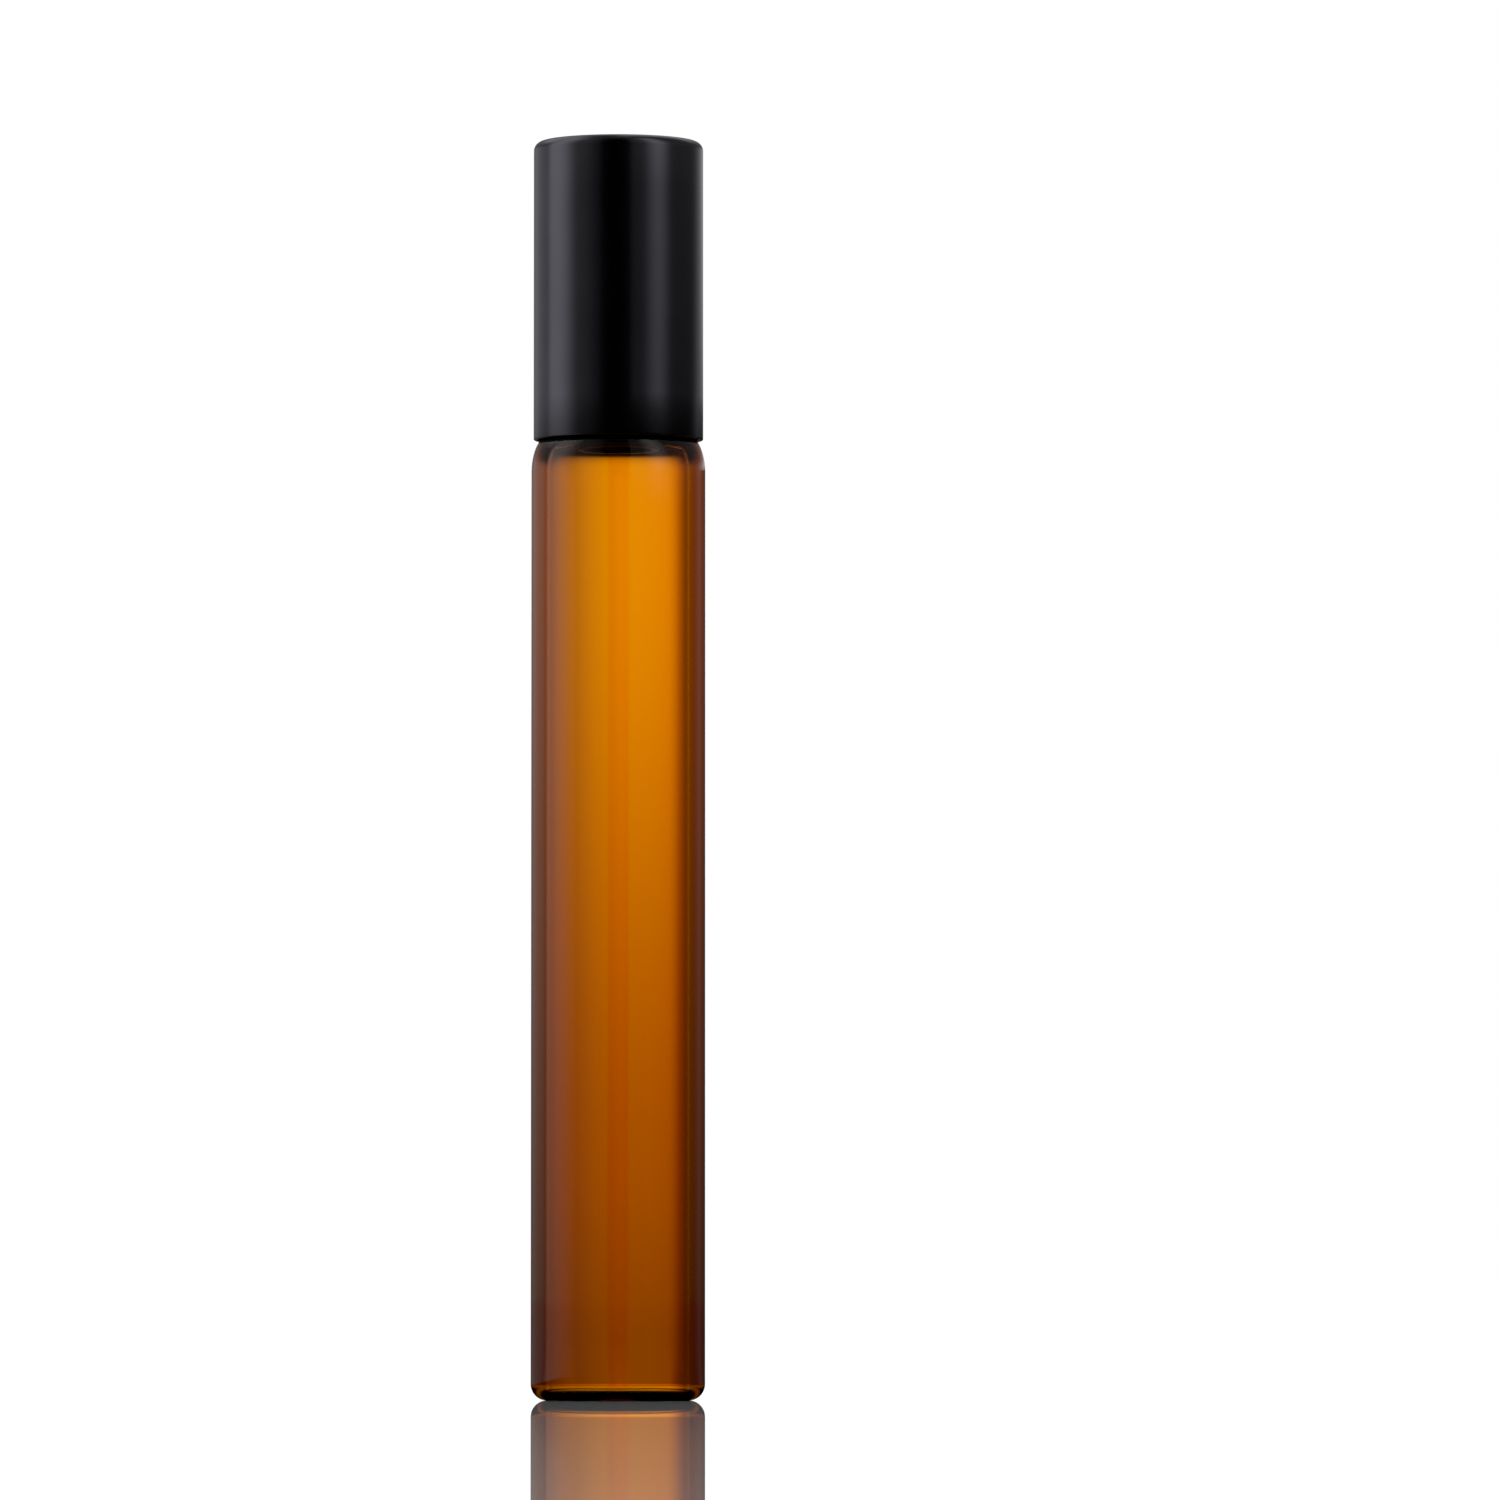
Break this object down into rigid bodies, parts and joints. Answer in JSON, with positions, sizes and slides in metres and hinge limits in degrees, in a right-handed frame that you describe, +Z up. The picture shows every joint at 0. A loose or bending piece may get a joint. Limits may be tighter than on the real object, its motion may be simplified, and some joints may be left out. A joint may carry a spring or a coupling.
{
  "type": "roll on bottle",
  "caption": "Slim amber glass roll-on bottle with a steel roller ball, a plug-in ball housing and a tall screw cap with a threaded liner and a seal disc.",
  "frame": {"origin": "middle of the plane that the bottle stands on, on its axis", "axes": "+Z up along the bottle's axis, from the base to the cap; the bottle is round, so +X and -Y are only the picture's right and front"},
  "size_m": [0.0164, 0.0164, 0.1195],
  "materials": {
    "amber_glass": "clear amber glass, polished",
    "black_plastic": "satin black moulded plastic",
    "ball_steel": "polished stainless steel",
    "disc_foam": "soft pale foamed plastic",
    "liner_plastic": "black moulded plastic",
    "cap_metal": "satin black anodised aluminium"
  },
  "bodies": {
    "bottle": {"glass_bottle": "amber_glass", "roller_housing": "black_plastic"},
    "ball": {"roller_ball": "ball_steel"},
    "seal": {"seal_disc": "disc_foam"},
    "cap": {"cap_liner": "liner_plastic", "cap_shell": "cap_metal"}
  },
  "joints": [
    {"name": "ball_roll", "type": "hinge", "parent": "bottle", "child": "ball", "pos_m": [0, 0, 0.104], "axis": [1, 0, 0], "continuous": true},
    {"name": "cap_rise", "type": "slide", "parent": "bottle", "child": "seal", "axis": [0, 0, 1], "range_m": [0, 0.0252]},
    {"name": "cap_turn", "type": "hinge", "parent": "seal", "child": "cap", "pos_m": [0, 0, 0.105], "axis": [0, 0, 1], "range_deg": [0, 4320]}
  ],
  "couplings": [
    {"joint": "cap_rise", "follows": "cap_turn", "m_per_rad": 0.00033423}
  ]
}
